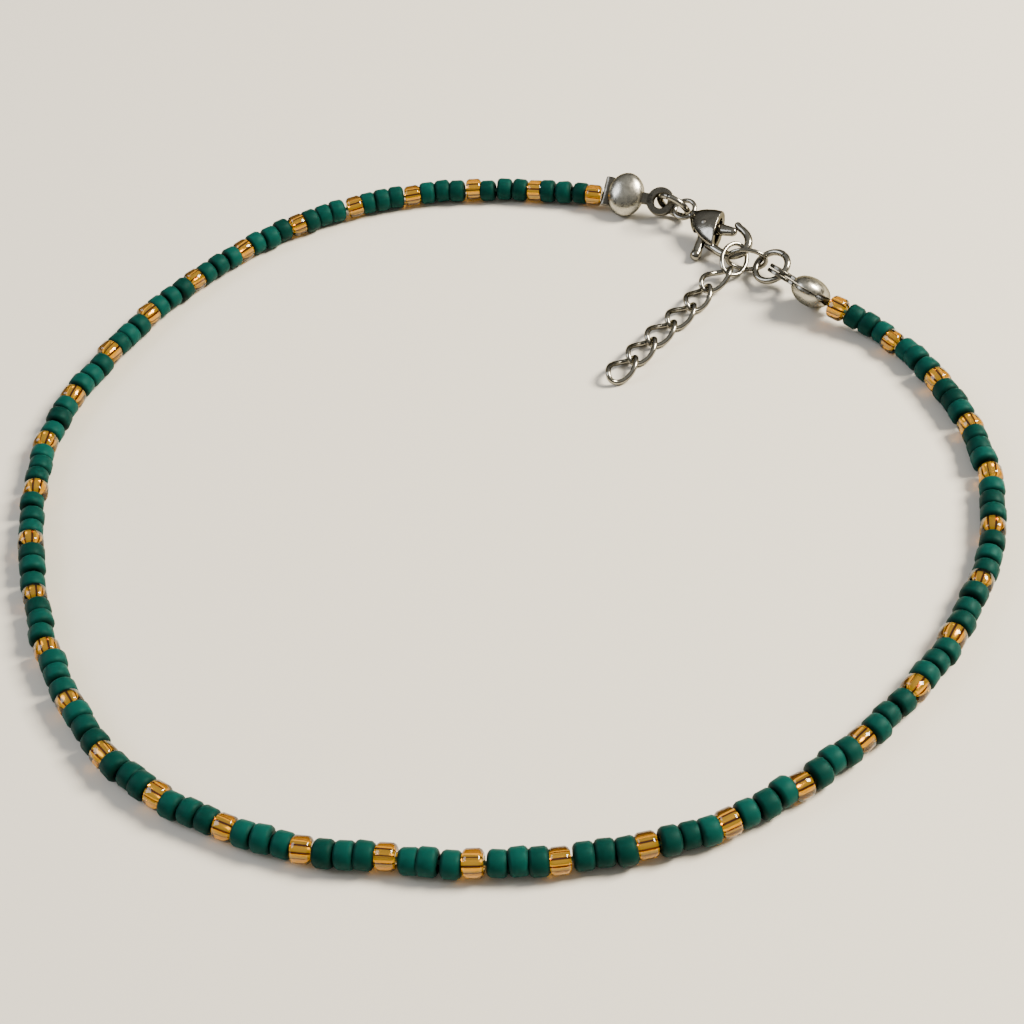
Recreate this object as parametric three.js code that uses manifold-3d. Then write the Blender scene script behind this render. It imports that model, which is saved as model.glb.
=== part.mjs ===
// Beaded anklet, fastened, lying on a table. Millimetres, +Z up.
// The strand of seed beads runs round as one tube. Its two ends are gripped by folded
// clamshell covers, which a lobster clasp and an extension chain of twisted links join.
import * as THREE from 'three';
import { mergeVertices } from 'three/addons/utils/BufferGeometryUtils.js';
import Module from 'manifold-3d';

// Clearance between wires that pass through each other, and between riveted pieces
const RING_PLAY = 0.1;
const LINK_PLAY = 0.07;
const RIVET_PLAY = 0.06;

// Bead strand
const BEAD_DIAMETER = 2.3;
const STRAND_SIDES = 8;
const STRAND_STEPS = 72;
const STRAND_END_GAP = 0.45;

// Clamshell covers at the two ends of the strand
const SHELL = {
  length: 3.76, // of each oval cup's rim, along the strand
  width: 4.5,
  depth: 1.38, // of each cup
  wall: 0.3,
  seam: 0.14, // gap between the two cups
  tabWidth: 3.0, // hinge strip at the strand's end
  tabReach: 0.55, // how far the hinge strip stands out of the cups
  tabThickness: 0.8,
  threadHole: 0.7,
  loopDiameter: 2.9, // flat rings at the other end
  loopHole: 1.5,
  loopThickness: 0.34,
  neckLength: 0.42,
  neckWidth: 1.1,
};

// Jump rings
const JUMP = { diameter: 3.95, wire: 0.65, split: 0.12 };

// Plain oval links at the head of the extension chain, and its twisted curb links
const OVAL = { length: 4.3, width: 2.95, wire: 0.45 };
const CURB = { length: 4.2, width: 2.65, wire: 0.5, twist: -90 };
const CURB_LINKS = 6;

// Lobster clasp. Its own frame has the tail ring's centre at 0, +X to the hook's far end
// and +Y to the side with the gate.
const CLASP = {
  tailDiameter: 2.6,
  tailWire: 0.5,
  neck: 1.1, // from the tail ring's centre to where the body starts
  bodyLength: 4.6,
  bodyWidth: 4.15,
  bodyThickness: 2.3,
  wall: 0.35,
  mouthAt: 3.82, // from where the body starts to the middle of its mouth
  mouthSlant: 28, // degrees between the mouth and a square cut
  hookWire: 0.74,
  hookLength: 9.17, // tail ring's centre to the far side of the hook
  hookWidth: 3.94,
  hookRound: 2.2, // length of the hook's rounded end, to the wire's centre
  hookAside: -0.2, // how far the hook's middle is off the clasp's axis
  hookTip: [6.15, 1.54],
  pivot: [3.45, -0.35],
  pinDiameter: 0.5,
  pinSunk: 0.1, // how far each end of the pin lies below the body's widest part
  leverThickness: 0.85,
  gateWidths: [1.15, 0.68], // at the pivot and at the tip
  gateTip: [6.2, 0.68],
  triggerWidths: [1.15, 0.8],
  triggerBall: 1.1,
  triggerTip: [4.85, -3.4],
  slotLength: 2.2, // slot the trigger comes out through, along the body
  slotAhead: 0.4, // its middle, beyond the pivot
};

// How each piece lies: heading and rise of its long axis and its roll about that axis, in
// degrees, and the height of its middle over the table
const TABLE_GAP = 0.04;
const SHELL_HEIGHT = 0.42 * SHELL.width + TABLE_GAP;
const CURB_HEIGHT = CURB.wire / 2 + 0.19 * (CURB.width - CURB.wire) + TABLE_GAP;
const LIE = {
  clasp: { heading: -15, rise: -1, roll: 24, height: 2.06 },
  claspRing: { heading: 175, rise: -5, roll: 66, height: 1.95 },
  shellLeft: { heading: 14, rise: -2, roll: 41, height: SHELL_HEIGHT },
  hookLink: { heading: -76.7, rise: -12.3, roll: -27.5, height: 1.34 },
  ringLink: { heading: 19.2, rise: 6.1, roll: 94.9, height: 1.55 },
  chainRing: { heading: -28.1, rise: -0.6, roll: 27.1, height: 1.65 },
  shellRight: { heading: 165.5, rise: 0.7, roll: 45, height: SHELL_HEIGHT },
};
const CURB_START = 0.3; // how much higher than the others the first curb link lies
const CURB_LIE = [
  { heading: -106, rise: -6.2, roll: 5, height: CURB_HEIGHT + CURB_START },
  { heading: -86, rise: 0, roll: 3, height: CURB_HEIGHT },
  { heading: -95, rise: 0, roll: 0, height: CURB_HEIGHT },
  { heading: -96, rise: 0, roll: 0, height: CURB_HEIGHT },
  { heading: -92, rise: 0, roll: 0, height: CURB_HEIGHT },
  { heading: -94, rise: 0, roll: 0, height: CURB_HEIGHT },
];

// Where the ring next to the clasp passes through the tail ring, where the first plain link
// rests in the hook, measured from the far end of the hook's wire, both in the clasp's own
// frame, and where the second plain link's end passes through the first one
const TAIL_HOLD = 0.35;
const HOOK_HOLD = [-1.06, 0.14];
const LINK_HOLD = [0.12, -0.69, -0.15];

// Where the clasp's tail ring is, and the route of the strand between its ends
const CLASP_AT = [-4.69, 38.88];
const STRAND_ROUTE = [
  [-20.7, 34.9], [-31.4, 27.9], [-38.7, 17.5], [-41.8, 4.9], [-41.3, -7.4], [-37.7, -19.3],
  [-29.9, -29.0], [-19.4, -37.3], [-7.8, -42.5], [4.7, -42.6], [16.6, -38.1], [27.6, -31.2],
  [36.1, -21.9], [40.7, -10.0], [42.2, 2.5], [39.8, 14.9], [33.0, 25.3], [22.1, 32.3],
];

// Roundness of the meshed forms
const RING_STEPS = 16;
const LINK_STEPS = 24;
const WIRE_SIDES = 6;
const LINK_SIDES = 6;
const ROUND = 16;

const STEEL = new THREE.MeshStandardMaterial({ color: 0xb4b3ae, roughness: 0.22, metalness: 1 });
const DARK_STEEL = new THREE.MeshStandardMaterial({ color: 0x8f8e88, roughness: 0.3, metalness: 1 });
const TEAL_GLASS = new THREE.MeshStandardMaterial({ color: 0x146257, roughness: 0.55, metalness: 0 });

const wasm = await Module();
wasm.setup();

// Solid of a closed mesh, for joining and cutting
function solidOf(geometry) {
  const bare = geometry.clone();
  bare.deleteAttribute('normal');
  bare.deleteAttribute('uv');
  const merged = mergeVertices(bare, 1e-5);
  return new wasm.Manifold(new wasm.Mesh({
    numProp: 3,
    vertProperties: new Float32Array(merged.attributes.position.array),
    triVerts: new Uint32Array(merged.index.array),
  }));
}

// Mesh geometry of a solid
function geometryOf(solid) {
  const mesh = solid.getMesh();
  const geometry = new THREE.BufferGeometry();
  geometry.setAttribute('position', new THREE.BufferAttribute(new Float32Array(mesh.vertProperties), 3));
  geometry.setIndex(new THREE.BufferAttribute(new Uint32Array(mesh.triVerts), 1));
  geometry.computeVertexNormals();
  return geometry;
}

const join = (...geometries) => geometries.map(solidOf).reduce((a, b) => a.add(b));
const radians = THREE.MathUtils.degToRad;

// Placement of a piece whose own X axis runs along it and whose own Z axis faces out of it
function seat([x, y], { heading, rise, roll, height }) {
  const turn = new THREE.Matrix4().makeRotationZ(radians(heading));
  turn.multiply(new THREE.Matrix4().makeRotationY(radians(-rise)));
  turn.multiply(new THREE.Matrix4().makeRotationX(radians(roll)));
  return turn.setPosition(x, y, height);
}

const reach = (matrix, x, y = 0, z = 0) => new THREE.Vector3(x, y, z).applyMatrix4(matrix).toArray();

// Placement of a piece whose point x on its own long axis lies over or under the point given
function seatBy(point, x, lie) {
  const end = reach(seat([0, 0], lie), x);
  return seat([point[0] - end[0], point[1] - end[1]], lie);
}

function placed(name, geometry, material, matrix = new THREE.Matrix4()) {
  const mesh = new THREE.Mesh(geometry, material);
  mesh.name = name;
  mesh.applyMatrix4(matrix);
  return mesh;
}

function circle(radius, sides, turn = 0) {
  const shape = new THREE.Shape();
  for (let i = 0; i < sides; i += 1) {
    const angle = turn + (i / sides) * 2 * Math.PI;
    const point = [radius * Math.cos(angle), radius * Math.sin(angle)];
    if (i === 0) shape.moveTo(...point);
    else shape.lineTo(...point);
  }
  shape.closePath();
  return shape;
}

// Round wire along an open curve
function wireAlong(curve, diameter, steps, sides = WIRE_SIDES) {
  const section = circle(diameter / 2, sides);
  return new THREE.ExtrudeGeometry(section, { steps, extrudePath: curve, curveSegments: 1 });
}

// Plate with the given outline, centred on z = 0
function plate(shape, thickness, curveSegments = 6) {
  const geometry = new THREE.ExtrudeGeometry(shape, { depth: thickness, bevelEnabled: false, curveSegments });
  return geometry.translate(0, 0, -thickness / 2);
}

// Straight pin along z, centred on z = 0
function pin(diameter, length, x = 0, y = 0) {
  const geometry = new THREE.CylinderGeometry(diameter / 2, diameter / 2, length, ROUND);
  return geometry.rotateX(Math.PI / 2).translate(x, y, 0);
}

// One centre line of a chain link: an oval whose ends are twisted against each other
class TwistedOval extends THREE.Curve {
  constructor(halfLength, halfWidth, twist) {
    super();
    Object.assign(this, { halfLength, halfWidth, twist });
  }

  getPoint(t, target = new THREE.Vector3()) {
    const along = Math.cos(2 * Math.PI * t);
    const across = this.halfWidth * Math.sin(2 * Math.PI * t);
    const turn = (this.twist / 2) * along;
    return target.set(this.halfLength * along, across * Math.cos(turn), across * Math.sin(turn));
  }
}

// Bead strand: a plain tube lying on the table between the two covers
function strandGeometry(startPoint, endPoint) {
  const facetTurn = Math.PI / STRAND_SIDES;
  const height = (BEAD_DIAMETER / 2) * Math.cos(facetTurn);
  const plan = [startPoint, ...STRAND_ROUTE, endPoint];
  const curve = new THREE.CatmullRomCurve3(plan.map(([x, y]) => new THREE.Vector3(x, y, height)), false, 'centripetal');
  const section = circle(BEAD_DIAMETER / 2, STRAND_SIDES, facetTurn);
  return new THREE.ExtrudeGeometry(section, { steps: STRAND_STEPS, extrudePath: curve, curveSegments: 1 });
}

// Distances along a cover, from its centre
const SHELL_LOOP_X = SHELL.length / 2 + SHELL.neckLength + SHELL.loopDiameter / 2;
const SHELL_TAB_X = -(SHELL.length / 2 + SHELL.tabReach);
const SHELL_EYE_PLAY = (SHELL.loopHole - JUMP.wire) / 2 - 2 * RING_PLAY; // a ring's way in the eye

// Closed oval cup pair, smaller by the inset all round, with the seam plane at z = 0
function cupPair(inset) {
  const profile = [];
  const rows = 4;
  for (let i = 0; i <= 2 * rows; i += 1) {
    const angle = -Math.PI / 2 + (i / (2 * rows)) * Math.PI;
    profile.push(new THREE.Vector2(i % (2 * rows) === 0 ? 0 : Math.cos(angle), Math.sin(angle)));
  }
  const form = new THREE.LatheGeometry(profile, ROUND).rotateX(Math.PI / 2);
  return form.scale(SHELL.length / 2 - inset, SHELL.width / 2 - inset, SHELL.depth - inset);
}

// Cover: two hollow cups folded together over the knot, a hinge strip with the thread's hole
// at one end and one flat ring on each cup at the other
function clamshellGeometry() {
  const radius = SHELL.length / 2;
  const halfSeam = SHELL.seam / 2;
  const strip = new THREE.BoxGeometry(SHELL.tabReach + SHELL.wall + radius / 2, SHELL.tabWidth, SHELL.tabThickness);
  strip.translate(SHELL_TAB_X + strip.parameters.width / 2, 0, 0);
  let cover = join(cupPair(0), strip);

  const ringOutline = circle(SHELL.loopDiameter / 2, ROUND, Math.PI / ROUND);
  const neckStart = radius - SHELL.wall;
  for (const side of [-1, 1]) {
    const lift = side * (halfSeam + SHELL.loopThickness / 2);
    const ring = plate(ringOutline, SHELL.loopThickness).translate(SHELL_LOOP_X, 0, lift);
    const neck = new THREE.BoxGeometry(SHELL_LOOP_X - SHELL.loopHole / 2 - neckStart, SHELL.neckWidth, SHELL.loopThickness);
    neck.translate(neckStart + neck.parameters.width / 2, 0, lift);
    cover = cover.add(solidOf(ring)).add(solidOf(neck));
  }

  const hollow = solidOf(cupPair(SHELL.wall));
  const seamFrom = -radius + SHELL.wall;
  const seamCut = new THREE.BoxGeometry(SHELL_LOOP_X + SHELL.loopDiameter - seamFrom, 2 * SHELL.width, SHELL.seam);
  seamCut.translate(seamFrom + seamCut.parameters.width / 2, 0, 0);
  const eye = pin(SHELL.loopHole, 4 * SHELL.loopThickness, SHELL_LOOP_X);
  const thread = pin(SHELL.threadHole, SHELL.length).rotateY(Math.PI / 2);
  thread.translate(-SHELL.length, 0, 0);
  cover = cover.subtract(hollow).subtract(solidOf(seamCut)).subtract(solidOf(eye));
  return geometryOf(cover.subtract(solidOf(thread)));
}

// Jump ring of round wire, closed to a narrow split at its own +Y side
const JUMP_REACH = (JUMP.diameter - JUMP.wire) / 2;
function jumpRingGeometry() {
  const half = JUMP.split / 2 / JUMP_REACH;
  const bow = new THREE.Curve();
  bow.getPoint = (t, target = new THREE.Vector3()) => {
    const angle = Math.PI / 2 + half + t * 2 * (Math.PI - half);
    return target.set(JUMP_REACH * Math.cos(angle), JUMP_REACH * Math.sin(angle), 0);
  };
  return wireAlong(bow, JUMP.wire, RING_STEPS);
}

// Chain link, closed by a weld
const linkReach = (link) => (link.length - link.wire) / 2;
function linkGeometry(link) {
  const oval = new TwistedOval(linkReach(link), (link.width - link.wire) / 2, radians(link.twist ?? 0));
  return new THREE.TubeGeometry(oval, LINK_STEPS, link.wire / 2, LINK_SIDES, true);
}

// Clasp body, as a pear-shaped shell turned round the clasp's long axis and pressed flat
function pear(inset) {
  const length = CLASP.bodyLength - inset;
  const radius = CLASP.bodyWidth / 2 - inset;
  const outline = [
    [0, 0], [0.03, 0.24], [0.2, 0.56], [0.42, 0.82], [0.66, 0.97], [0.85, 1.0], [1.08, 0.97], [1.3, 0.86], [1.3, 0],
  ];
  const profile = outline.map(([along, across]) => new THREE.Vector2(across * radius, along * length));
  const shape = new THREE.LatheGeometry(profile, ROUND).rotateZ(-Math.PI / 2);
  const flatness = (CLASP.bodyThickness / 2 - inset) / radius;
  return shape.scale(1, 1, flatness).translate(CLASP.neck + inset, 0, 0);
}

// Hook: straight out of the body's lower side and round an oval end to its tip
const HOOK_HALF = (CLASP.hookWidth - CLASP.hookWire) / 2;
const HOOK_END = CLASP.hookLength - CLASP.hookWire / 2;
function hookCurve() {
  const turn = HOOK_END - CLASP.hookRound; // where the hook starts to turn
  const low = CLASP.hookAside - HOOK_HALF;
  const start = CLASP.neck + 0.72 * CLASP.bodyLength;
  const route = [[start, low], [(start + turn) / 2, low]];
  for (let angle = -90; angle <= 90; angle += 30) {
    route.push([
      turn + CLASP.hookRound * Math.cos(radians(angle)),
      CLASP.hookAside + HOOK_HALF * Math.sin(radians(angle)),
    ]);
  }
  route.push(CLASP.hookTip);
  return new THREE.CatmullRomCurve3(route.map(([x, y]) => new THREE.Vector3(x, y, 0)), false, 'centripetal');
}

// Box that cuts away everything farther than the given distance beyond the slanted mouth
function mouthCut(beyond = 0) {
  const size = 3 * CLASP.bodyWidth;
  const middle = CLASP.neck + CLASP.mouthAt + beyond;
  const box = new THREE.BoxGeometry(size, size, size).translate(size / 2, 0, 0);
  return box.rotateZ(radians(CLASP.mouthSlant)).translate(middle, 0, 0);
}

function claspBodyGeometry() {
  const shell = solidOf(pear(0)).subtract(solidOf(mouthCut()));
  const tail = new THREE.TorusGeometry((CLASP.tailDiameter - CLASP.tailWire) / 2, CLASP.tailWire / 2, WIRE_SIDES, RING_STEPS);
  const neck = pin(CLASP.tailWire * 1.5, CLASP.neck, 0, 0).rotateY(Math.PI / 2);
  neck.translate(CLASP.tailDiameter / 2 - CLASP.tailWire / 2 + CLASP.neck / 2, 0, 0);
  const hook = wireAlong(hookCurve(), CLASP.hookWire, 24);
  const outside = shell.add(solidOf(tail)).add(solidOf(neck)).add(solidOf(hook));

  const slotThickness = CLASP.leverThickness + 2 * RIVET_PLAY;
  const slot = new THREE.BoxGeometry(CLASP.slotLength, CLASP.bodyWidth, slotThickness);
  slot.translate(CLASP.pivot[0] + CLASP.slotAhead, -CLASP.bodyWidth / 2, 0);
  const bore = pin(CLASP.pinDiameter + 2 * RIVET_PLAY, 2 * CLASP.bodyThickness, ...CLASP.pivot);
  const hollow = solidOf(pear(CLASP.wall)).subtract(solidOf(mouthCut(CLASP.wall)));
  return geometryOf(outside.subtract(hollow).subtract(solidOf(slot)).subtract(solidOf(bore)));
}

// Tapered bar with round ends between two points of the clasp's plane
function bar(from, to, [widthFrom, widthTo], thickness) {
  const length = Math.hypot(to[0] - from[0], to[1] - from[1]);
  const shape = new THREE.Shape();
  shape.moveTo(0, -widthFrom / 2);
  shape.lineTo(length, -widthTo / 2);
  shape.absarc(length, 0, widthTo / 2, -Math.PI / 2, Math.PI / 2, false);
  shape.lineTo(0, widthFrom / 2);
  shape.absarc(0, 0, widthFrom / 2, Math.PI / 2, (3 * Math.PI) / 2, false);
  const geometry = plate(shape, thickness);
  return geometry.rotateZ(Math.atan2(to[1] - from[1], to[0] - from[0])).translate(from[0], from[1], 0);
}

function claspLeverGeometry() {
  const gate = bar(CLASP.pivot, CLASP.gateTip, CLASP.gateWidths, CLASP.leverThickness);
  const trigger = bar(CLASP.pivot, CLASP.triggerTip, CLASP.triggerWidths, CLASP.leverThickness);
  const ball = new THREE.SphereGeometry(CLASP.triggerBall / 2, 12, 8).translate(...CLASP.triggerTip, 0);
  const bore = pin(CLASP.pinDiameter + 2 * RIVET_PLAY, 2 * CLASP.leverThickness, ...CLASP.pivot);
  return geometryOf(join(gate, trigger, ball).subtract(solidOf(bore)));
}

// Everything hangs together from the clasp outwards
const claspSeat = seat(CLASP_AT, LIE.clasp);
const claspRingSeat = seatBy(reach(claspSeat, TAIL_HOLD), -JUMP_REACH, LIE.claspRing);
const shellLeftSeat = seatBy(reach(claspRingSeat, JUMP_REACH), SHELL_LOOP_X, LIE.shellLeft);
const hookHold = reach(claspSeat, HOOK_END + HOOK_HOLD[0], HOOK_HOLD[1]);
const hookLinkSeat = seatBy(hookHold, -linkReach(OVAL), LIE.hookLink);

// The curb links run on from it
const curbSeats = [];
const curbStep = CURB.wire + LINK_PLAY;
let grip = reach(hookLinkSeat, linkReach(OVAL) - (OVAL.wire + CURB.wire) / 2 - LINK_PLAY);
for (const lie of CURB_LIE.slice(0, CURB_LINKS)) {
  const curbSeat = seatBy(grip, -linkReach(CURB), lie);
  curbSeats.push(curbSeat);
  grip = reach(curbSeat, linkReach(CURB) - curbStep);
}

// The second plain link joins the first to the ring on the right cover
const ringLinkHold = reach(hookLinkSeat, ...LINK_HOLD);
const ringLinkSeat = seatBy(ringLinkHold, -linkReach(OVAL), LIE.ringLink);
const ringStep = (OVAL.wire + JUMP.wire) / 2 + RING_PLAY;
const chainRingSeat = seatBy(reach(ringLinkSeat, linkReach(OVAL)), -JUMP_REACH + ringStep, LIE.chainRing);
const shellRightSeat = seatBy(reach(chainRingSeat, JUMP_REACH + SHELL_EYE_PLAY), SHELL_LOOP_X, LIE.shellRight);

const strandEnd = (shellSeat) => reach(shellSeat, SHELL_TAB_X - STRAND_END_GAP);

const anklet = new THREE.Group();
anklet.add(placed('bead_string', strandGeometry(strandEnd(shellLeftSeat), strandEnd(shellRightSeat)), TEAL_GLASS));
anklet.add(placed('clamshell_left', clamshellGeometry(), STEEL, shellLeftSeat));
anklet.add(placed('clamshell_right', clamshellGeometry(), STEEL, shellRightSeat));
anklet.add(placed('jump_ring_clasp', jumpRingGeometry(), STEEL, claspRingSeat));
anklet.add(placed('jump_ring_chain', jumpRingGeometry(), STEEL, chainRingSeat));
anklet.add(placed('clasp_body', claspBodyGeometry(), STEEL, claspSeat));
anklet.add(placed('clasp_lever', claspLeverGeometry(), STEEL, claspSeat));
anklet.add(placed('clasp_pin', pin(CLASP.pinDiameter, CLASP.bodyThickness - 2 * CLASP.pinSunk, ...CLASP.pivot), DARK_STEEL, claspSeat));
anklet.add(placed('link_hook', linkGeometry(OVAL), STEEL, hookLinkSeat));
anklet.add(placed('link_ring', linkGeometry(OVAL), STEEL, ringLinkSeat));
curbSeats.forEach((curbSeat, i) => {
  anklet.add(placed(`curb_link_${i + 1}`, linkGeometry(CURB), STEEL, curbSeat));
});

// Origin at the middle of the anklet's footprint, on the table
anklet.updateMatrixWorld(true);
const box = new THREE.Box3().setFromObject(anklet, true);
const middle = box.getCenter(new THREE.Vector3());
anklet.position.set(-middle.x, -middle.y, -box.min.z);
anklet.updateMatrixWorld(true);

export default anklet;
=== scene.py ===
"""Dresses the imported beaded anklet: glass seed beads, bead-tip covers, clasp and extension chain.

Every length in the classes is in millimetres, in the layout of the part's source. Meshes are
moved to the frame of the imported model, in metres, when they are made.
"""

from __future__ import annotations

import logging
import math
from dataclasses import dataclass, field
from enum import Enum
from typing import Any, Callable, Iterable, Sequence

import bmesh
import bpy
import numpy as np
from mathutils import Matrix, Vector

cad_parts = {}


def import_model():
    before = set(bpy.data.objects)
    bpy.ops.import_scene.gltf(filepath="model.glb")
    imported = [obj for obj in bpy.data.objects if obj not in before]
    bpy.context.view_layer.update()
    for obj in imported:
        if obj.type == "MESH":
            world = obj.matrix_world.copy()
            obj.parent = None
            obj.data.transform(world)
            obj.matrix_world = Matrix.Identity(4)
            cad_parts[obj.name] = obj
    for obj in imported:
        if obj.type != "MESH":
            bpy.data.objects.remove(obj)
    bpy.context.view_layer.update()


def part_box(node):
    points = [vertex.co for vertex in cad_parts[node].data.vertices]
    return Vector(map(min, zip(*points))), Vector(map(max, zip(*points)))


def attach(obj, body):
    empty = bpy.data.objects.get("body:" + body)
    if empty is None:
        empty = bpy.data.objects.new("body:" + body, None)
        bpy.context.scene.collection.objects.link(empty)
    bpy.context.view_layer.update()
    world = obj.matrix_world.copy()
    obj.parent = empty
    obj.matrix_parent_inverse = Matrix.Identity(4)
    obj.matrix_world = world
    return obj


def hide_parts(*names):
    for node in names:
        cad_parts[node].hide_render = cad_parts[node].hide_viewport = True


Pair = tuple[float, float]
Object = bpy.types.Object
Tree = bpy.types.NodeTree
Socket = bpy.types.NodeSocket

LOG = logging.getLogger("anklet")
MM = 0.001
MIDDLING = (0.3, 0.7)  # where most values of a noise lie
CLEAR = 0.04  # gap between a leaning piece and the surface

# Route of the strand between its two ends, in metres, before the layout is centred
STRAND_ROUTE = [
    (-0.0207, 0.0349), (-0.0314, 0.0279), (-0.0387, 0.0175), (-0.0418, 0.0049), (-0.0413, -0.0074),
    (-0.0377, -0.0193), (-0.0299, -0.0290), (-0.0194, -0.0373), (-0.0078, -0.0425), (0.0047, -0.0426),
    (0.0166, -0.0381), (0.0276, -0.0312), (0.0361, -0.0219), (0.0407, -0.0100), (0.0422, 0.0025),
    (0.0398, 0.0149), (0.0330, 0.0253), (0.0221, 0.0323),
]

# Outline of the clasp's body, as shares of its length and of its half width
PEAR_OUTLINE = [
    (0, 0), (0.03, 0.24), (0.2, 0.56), (0.42, 0.82), (0.66, 0.97), (0.85, 1.0), (1.08, 0.97), (1.3, 0.86),
]


# Nodes


def linear(hex_code: str) -> tuple[float, float, float, float]:
    """Turns an sRGB hex colour into linear RGBA.

    Args:
        hex_code: Colour as "#rrggbb".

    Returns:
        The four linear components, alpha 1.
    """
    parts = [int(hex_code[i : i + 2], 16) / 255 for i in (1, 3, 5)]
    values = [c / 12.92 if c <= 0.04045 else ((c + 0.055) / 1.055) ** 2.4 for c in parts]
    return (values[0], values[1], values[2], 1.0)


def fill(tree: Tree, node: bpy.types.Node, inputs: dict[Any, Any]) -> None:
    """Links or fills a node's inputs.

    Args:
        tree: Tree of the node.
        node: The node.
        inputs: Socket names or numbers to values or to output sockets.
    """
    for socket, value in inputs.items():
        if isinstance(value, Socket):
            tree.links.new(value, node.inputs[socket])
        else:
            node.inputs[socket].default_value = value


def add(
    tree: Tree, kind: str, inputs: dict[Any, Any] | None = None, **settings: Any
) -> bpy.types.NodeOutputs:
    """Adds a node, with its settings, and links or fills its inputs.

    Args:
        tree: Tree the node goes into.
        kind: Type name of the node.
        inputs: Socket names or numbers to values or to output sockets.
        settings: Attributes of the node.

    Returns:
        The new node's output sockets.
    """
    node = tree.nodes.new(kind)
    for key, value in settings.items():
        setattr(node, key, value)
    fill(tree, node, inputs or {})
    return node.outputs


def noise(tree: Tree, size: float, detail: float) -> Socket:
    """Adds a noise that stays with the object."""
    place = add(tree, "ShaderNodeTexCoord")["Object"]
    return add(tree, "ShaderNodeTexNoise", {"Vector": place, "Scale": 1 / (size * MM), "Detail": detail})[0]


def span(tree: Tree, value: Any, given: Pair, wanted: Pair) -> Socket:
    """Moves a value from one range to another, and holds it there."""
    ends = zip(("From Min", "From Max", "To Min", "To Max"), given + wanted)
    return add(tree, "ShaderNodeMapRange", {"Value": value, **dict(ends)})[0]


def blend(tree: Tree, share: Any, first: Any, second: Any) -> Socket:
    """Mixes two colours."""
    return add(tree, "ShaderNodeMix", {0: share, 6: first, 7: second}, data_type="RGBA")[2]


def calc(tree: Tree, operation: str, *values: Any) -> Socket:
    """Works out a number from one or two others."""
    return add(tree, "ShaderNodeMath", dict(enumerate(values)), operation=operation)[0]


def stored(tree: Tree, name: str) -> Socket:
    """Reads a number stored on the mesh."""
    return add(tree, "ShaderNodeAttribute", attribute_name=name)["Fac"]


def relief(tree: Tree, height: Any, strength: float) -> Socket:
    """Adds a fine relief, 0.02 mm deep at full strength."""
    return add(tree, "ShaderNodeBump", {"Height": height, "Strength": strength, "Distance": 0.02 * MM})[0]


def geometry_tree(name: str, inputs: dict[str, str]) -> tuple[Tree, bpy.types.NodeOutputs]:
    """Starts a geometry node tree.

    Args:
        name: Name of the tree.
        inputs: Names of its inputs after the geometry, and their kinds.

    Returns:
        The tree and the sockets of its inputs.
    """
    tree = bpy.data.node_groups.new(name, "GeometryNodeTree")
    for label, kind in {"Geometry": "Geometry", **inputs}.items():
        tree.interface.new_socket(label, in_out="INPUT", socket_type="NodeSocket" + kind)
    tree.interface.new_socket("Geometry", in_out="OUTPUT", socket_type="NodeSocketGeometry")
    return tree, add(tree, "NodeGroupInput")


def close_tree(tree: Tree, instances: Any, material: Any) -> None:
    """Ends a geometry node tree: makes its instances real and sets their material.

    Args:
        tree: The tree.
        instances: Socket of the instances.
        material: Socket of the material.
    """
    real = add(tree, "GeometryNodeRealizeInstances", {"Geometry": instances})[0]
    dressed = add(tree, "GeometryNodeSetMaterial", {"Geometry": real, "Material": material})[0]
    add(tree, "NodeGroupOutput", {"Geometry": dressed})


# Meshes


@dataclass(frozen=True)
class Lie:
    """How a piece lies: heading, rise and roll in degrees, and its middle's height."""

    heading: float
    rise: float
    roll: float
    height: float

    def seat(self, x: float, y: float) -> Matrix:
        """Gives the placement of a piece whose own X axis runs along it.

        Args:
            x: Place of its middle.
            y: Place of its middle.

        Returns:
            The placement.
        """
        turn = Matrix.Rotation(math.radians(self.heading), 4, "Z")
        turn = turn @ Matrix.Rotation(math.radians(-self.rise), 4, "Y")
        turn = turn @ Matrix.Rotation(math.radians(self.roll), 4, "X")
        turn.translation = Vector((x, y, self.height))
        return turn

    def seat_by(self, point: Vector, along: float) -> Matrix:
        """Places a piece so that a point of its long axis lies over or under the point given."""
        end = self.seat(0, 0) @ Vector((along, 0, 0))
        return self.seat(point.x - end.x, point.y - end.y)


def reach(seat: Matrix, x: float, y: float = 0.0, z: float = 0.0) -> Vector:
    """Gives the place of a piece's own point."""
    return seat @ Vector((x, y, z))


def arc(across: float, high: float, turns: Iterable[float]) -> list[Pair]:
    """Gives points of an ellipse about the origin."""
    return [(across * math.cos(turn), high * math.sin(turn)) for turn in map(math.radians, turns)]


def doubled(half: list[Pair]) -> list[Pair]:
    """Gives half a profile and its mirror image, as one line of points."""
    return half + [(radius, -height) for radius, height in reversed(half)]


def put_in_scene(name: str, data: bpy.types.ID) -> Object:
    """Puts a mesh, a light or a camera into the scene, at the origin.

    Args:
        name: Name of its object.
        data: The mesh, light or camera.

    Returns:
        The object.
    """
    obj = bpy.data.objects.new(name, data)
    bpy.context.scene.collection.objects.link(obj)
    return obj


def reshape(mesh: bpy.types.Mesh, change: Callable[[bmesh.types.BMesh], None]) -> None:
    """Changes a mesh and turns its faces outwards.

    Args:
        mesh: The mesh.
        change: What is done to it.
    """
    shell = bmesh.new()
    shell.from_mesh(mesh)
    change(shell)
    bmesh.ops.recalc_face_normals(shell, faces=shell.faces)
    shell.to_mesh(mesh)
    shell.free()


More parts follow.
